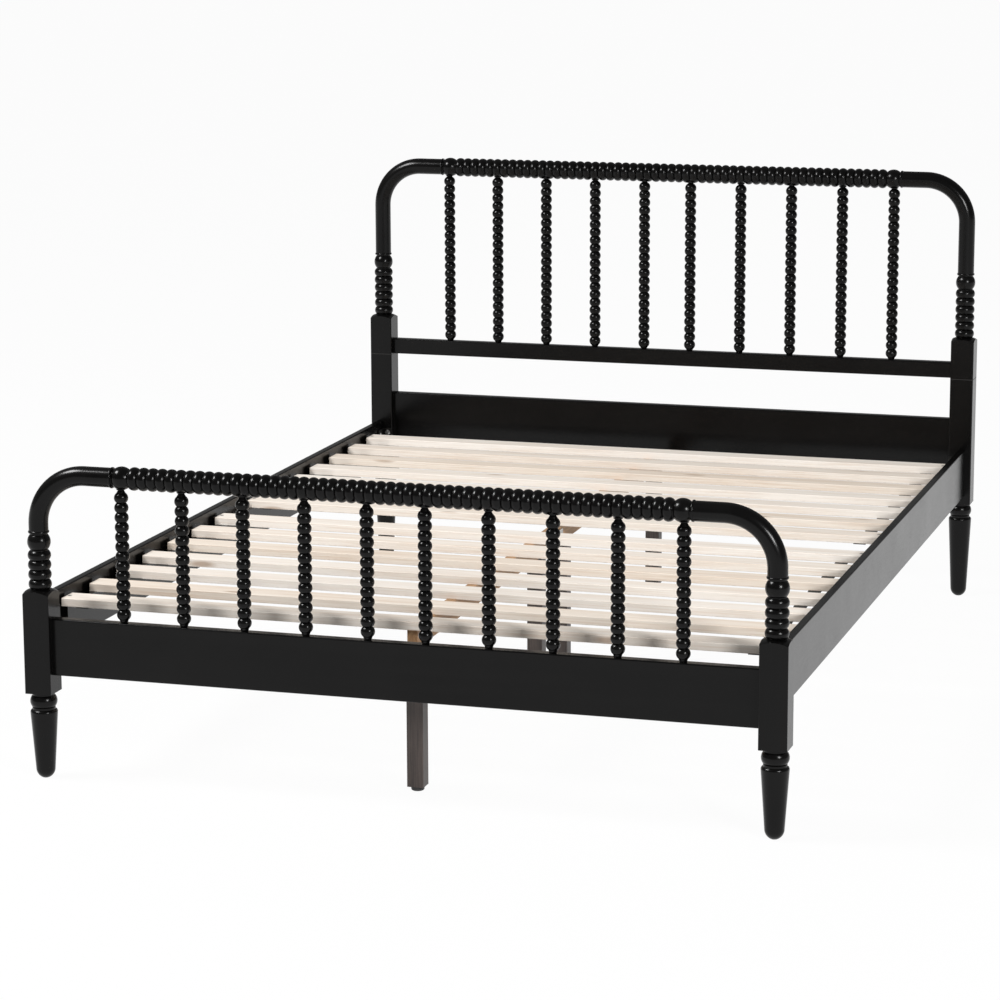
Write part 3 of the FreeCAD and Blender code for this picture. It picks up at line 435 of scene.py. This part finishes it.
# %% Straps
SLAT_UNDER, STRAP_X = 0.316, 0.648
STRAP_WIDE, STRAP_THICK, STRAP_SAG = 0.025, 0.0014, 0.0035
STRAP_COLUMNS, STRAP_ROWS = 3, 83
ROLL_STARTS = (FOOT_ROLL_START, HEAD_ROLL_START)
ROLL_LONG = (SLATS_IN_ROLL - 1) * SLAT_PITCH + SLAT_WIDE
# Rows that lie on a slat's edge are counted as just past it.
PAST_EDGE = 0.0001


def sag(along):
    """How far the strap hangs below the slats, this far from the roll's first edge."""
    past = along % SLAT_PITCH - SLAT_WIDE
    if past <= 0:
        return 0.0
    return STRAP_SAG * math.sin(math.pi * past / (SLAT_PITCH - SLAT_WIDE)) ** 0.8


sheet = bmesh.new()
for across in (-STRAP_X, STRAP_X):
    for start in ROLL_STARTS:
        strap = bmesh.ops.create_grid(sheet, x_segments=STRAP_COLUMNS, y_segments=STRAP_ROWS,
                                      size=0.5)["verts"]
        bmesh.ops.scale(sheet, vec=(STRAP_WIDE, ROLL_LONG, 1), verts=strap)
        bmesh.ops.translate(sheet, vec=(across, start + ROLL_LONG / 2, SLAT_UNDER), verts=strap)
        for vert in strap:
            vert.co.z -= sag(vert.co.y - start + PAST_EDGE)
for face in sheet.faces:
    if face.normal.z > 0:
        face.normal_flip()
straps = made_object("woven_straps", sheet, webbing)
thickness = straps.modifiers.new("thickness", "SOLIDIFY")
thickness.thickness = STRAP_THICK
thickness.offset = 1.0
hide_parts("slat_webbing")
print("straps", len(straps.data.polygons), "faces; each", round(ROLL_LONG, 3), "m long")

# %% [markdown]
# ## One staple
#
# Each strap is held to each slat by two wire staples, driven from below.  A staple is a wire with
# two bends.  A curve with a bevel could make it, but a small circle, spun through a quarter turn,
# extruded and spun again, is the same wire and stays one mesh.

# %% One staple
WIRE, CROWN, BEND = 0.0006, 0.009, 0.0014
WIRE_SIDES, BEND_STEPS = 6, 3
CROWN_FLAT = CROWN - 2 * BEND


def spun_quarter(sheet, wire_end, middle):
    """The open wire end, spun a quarter turn about this place along y; gives the new open end."""
    spun = bmesh.ops.spin(sheet, geom=wire_end, cent=(0, middle, 0), axis=(1, 0, 0), dvec=(0, 0, 0),
                          angle=math.radians(90), steps=BEND_STEPS)
    return edges_in(spun["geom_last"])


sheet = bmesh.new()
tip = bmesh.ops.create_circle(sheet, radius=WIRE, segments=WIRE_SIDES)["verts"]
bmesh.ops.translate(sheet, vec=(0, -CROWN / 2, 0), verts=tip)
wire_end = spun_quarter(sheet, sheet.edges[:], BEND - CROWN / 2)
pushed = bmesh.ops.extrude_edge_only(sheet, edges=wire_end)["geom"]
bmesh.ops.translate(sheet, vec=(0, CROWN_FLAT, 0), verts=verts_in(pushed))
spun_quarter(sheet, edges_in(pushed), CROWN / 2 - BEND)
bmesh.ops.recalc_face_normals(sheet, faces=sheet.faces[:])
low = min(vert.co.z for vert in sheet.verts)
high = max(vert.co.z for vert in sheet.verts)
print("one staple: lowest", round(low, 4), "highest", round(high, 4))

# %% [markdown]
# ## All the staples
#
# The one shape is copied to every crossing of a strap and a slat, two side by side, with its
# crown just under the strap.  The first shape is only a pattern and is deleted at the end.

# %% All staples
STAPLE_ASIDE = 0.006
crown_drop = SLAT_UNDER - STRAP_THICK - WIRE / 2 - (low + WIRE)
places = [(across + aside, start + slat * SLAT_PITCH + SLAT_WIDE / 2, crown_drop)
          for across in (-STRAP_X, STRAP_X)
          for start in ROLL_STARTS
          for slat in range(SLATS_IN_ROLL)
          for aside in (-STAPLE_ASIDE, STAPLE_ASIDE)]
pattern = sheet.verts[:] + sheet.edges[:] + sheet.faces[:]
for spot in places:
    copied = bmesh.ops.duplicate(sheet, geom=pattern)["geom"]
    bmesh.ops.translate(sheet, vec=spot, verts=verts_in(copied))
bmesh.ops.delete(sheet, geom=verts_in(pattern), context="VERTS")
staples = made_object("strap_staples", sheet, zinc)
print("staples", len(places), "with", len(staples.data.polygons), "faces")

# %% [markdown]
# ## The room
#
# The bed stands in a plain grey room, so no side of it is ever quite dark.  The camera has to see
# white, though, where it looks past the floor, as it would in front of a paper roll.  Light Path
# tells the rays apart: camera rays meet white, and all others meet the grey.

# %% Room
ROOM, PAPER = 0.20, 0.96
bpy.context.scene.view_settings.view_transform = "Standard"


def seen_by(wire, *kinds):
    """1 for these kinds of ray, 0 for every other one."""
    seen, *others = [wire.call("ShaderNodeLightPath", {}, output=kind) for kind in kinds]
    for ray in others:
        seen = wire.math("MAXIMUM", seen, ray)
    return seen


world = bpy.data.worlds.new("studio")
world.use_nodes = True
bpy.context.scene.world = world
room = world.node_tree.nodes["Background"]
room.inputs["Color"].default_value = (1, 1, 1, 1)
looked_at = seen_by(Wire(world.node_tree, None), "Is Camera Ray", "Is Transmission Ray")
feed(room, Strength=looked_at.step(0, 1, bottom=ROOM, ceiling=PAPER))
print("room", ROOM, "and", PAPER, "where the camera sees it")

# %% [markdown]
# ## The floor
#
# A white floor runs far past the bed, so it is the whole background.  Lamps alone could make it
# white, but they would burn out the pale slats.  So the camera, and the paint's and the metal's
# reflections, see it nearly as plain white paper; the part that is left shows the bed's shadow.

# %% Floor
FLOOR_HALF = 60.0
FLOOR_DARK, FLOOR_LIGHT = (0.80, 0.80, 0.80, 1), (0.83, 0.83, 0.83, 1)

sheet = bmesh.new()
bmesh.ops.create_grid(sheet, x_segments=4, y_segments=4, size=FLOOR_HALF)
floor_mesh = bpy.data.meshes.new("floor")
sheet.to_mesh(floor_mesh)
sheet.free()
floor = bpy.data.objects.new("floor", floor_mesh)
bpy.context.scene.collection.objects.link(floor)

floor_paper, shader, place = material("floor_paper")
mottle = place.noise(3, detail=2).step(0.3, 0.7)
feed(shader, Base_Color=mottle.blend(FLOOR_DARK, FLOOR_LIGHT), Roughness=0.9, IOR=1.3)
seen = seen_by(place, "Is Camera Ray", "Is Glossy Ray", "Is Transmission Ray")
white = place.call("ShaderNodeEmission", {"Color": (1, 1, 1, 1), "Strength": 1.0})
lit_paper = Wire(place.tree, shader.outputs["BSDF"])
mixed = place.call("ShaderNodeMixShader", {0: PAPER * seen, 1: lit_paper, 2: white})
place.tree.links.new(mixed.socket, place.tree.nodes["Material Output"].inputs["Surface"])
floor_mesh.materials.append(floor_paper)
print("floor reaches", FLOOR_HALF, "m each way")

# %% [markdown]
# ## The softboxes
#
# A softbox high on the left and a smaller one on the right light the bed.  A sun would be
# simpler, but it would leave one tiny glint.  These two give the pale slats their level, and
# leave the pair of soft highlights that is seen on every bead.

# %% Softboxes
AIM = Vector((0, -0.2, 0.5))


def softbox(name, where, width, height, power):
    light = bpy.data.objects.new(name, bpy.data.lights.new(name, "AREA"))
    light.data.shape = "RECTANGLE"
    light.data.size = width
    light.data.size_y = height
    light.data.energy = power
    light.location = where
    light.rotation_euler = (AIM - Vector(where)).to_track_quat("-Z", "Y").to_euler()
    bpy.context.scene.collection.objects.link(light)
    print("softbox", name, width, "by", height, "m,", power, "W")


softbox("key", (-3.7, -2.1, 4.8), width=1.9, height=1.6, power=350)
softbox("kicker", (4.0, -4.2, 2.45), width=1.2, height=1.2, power=190)
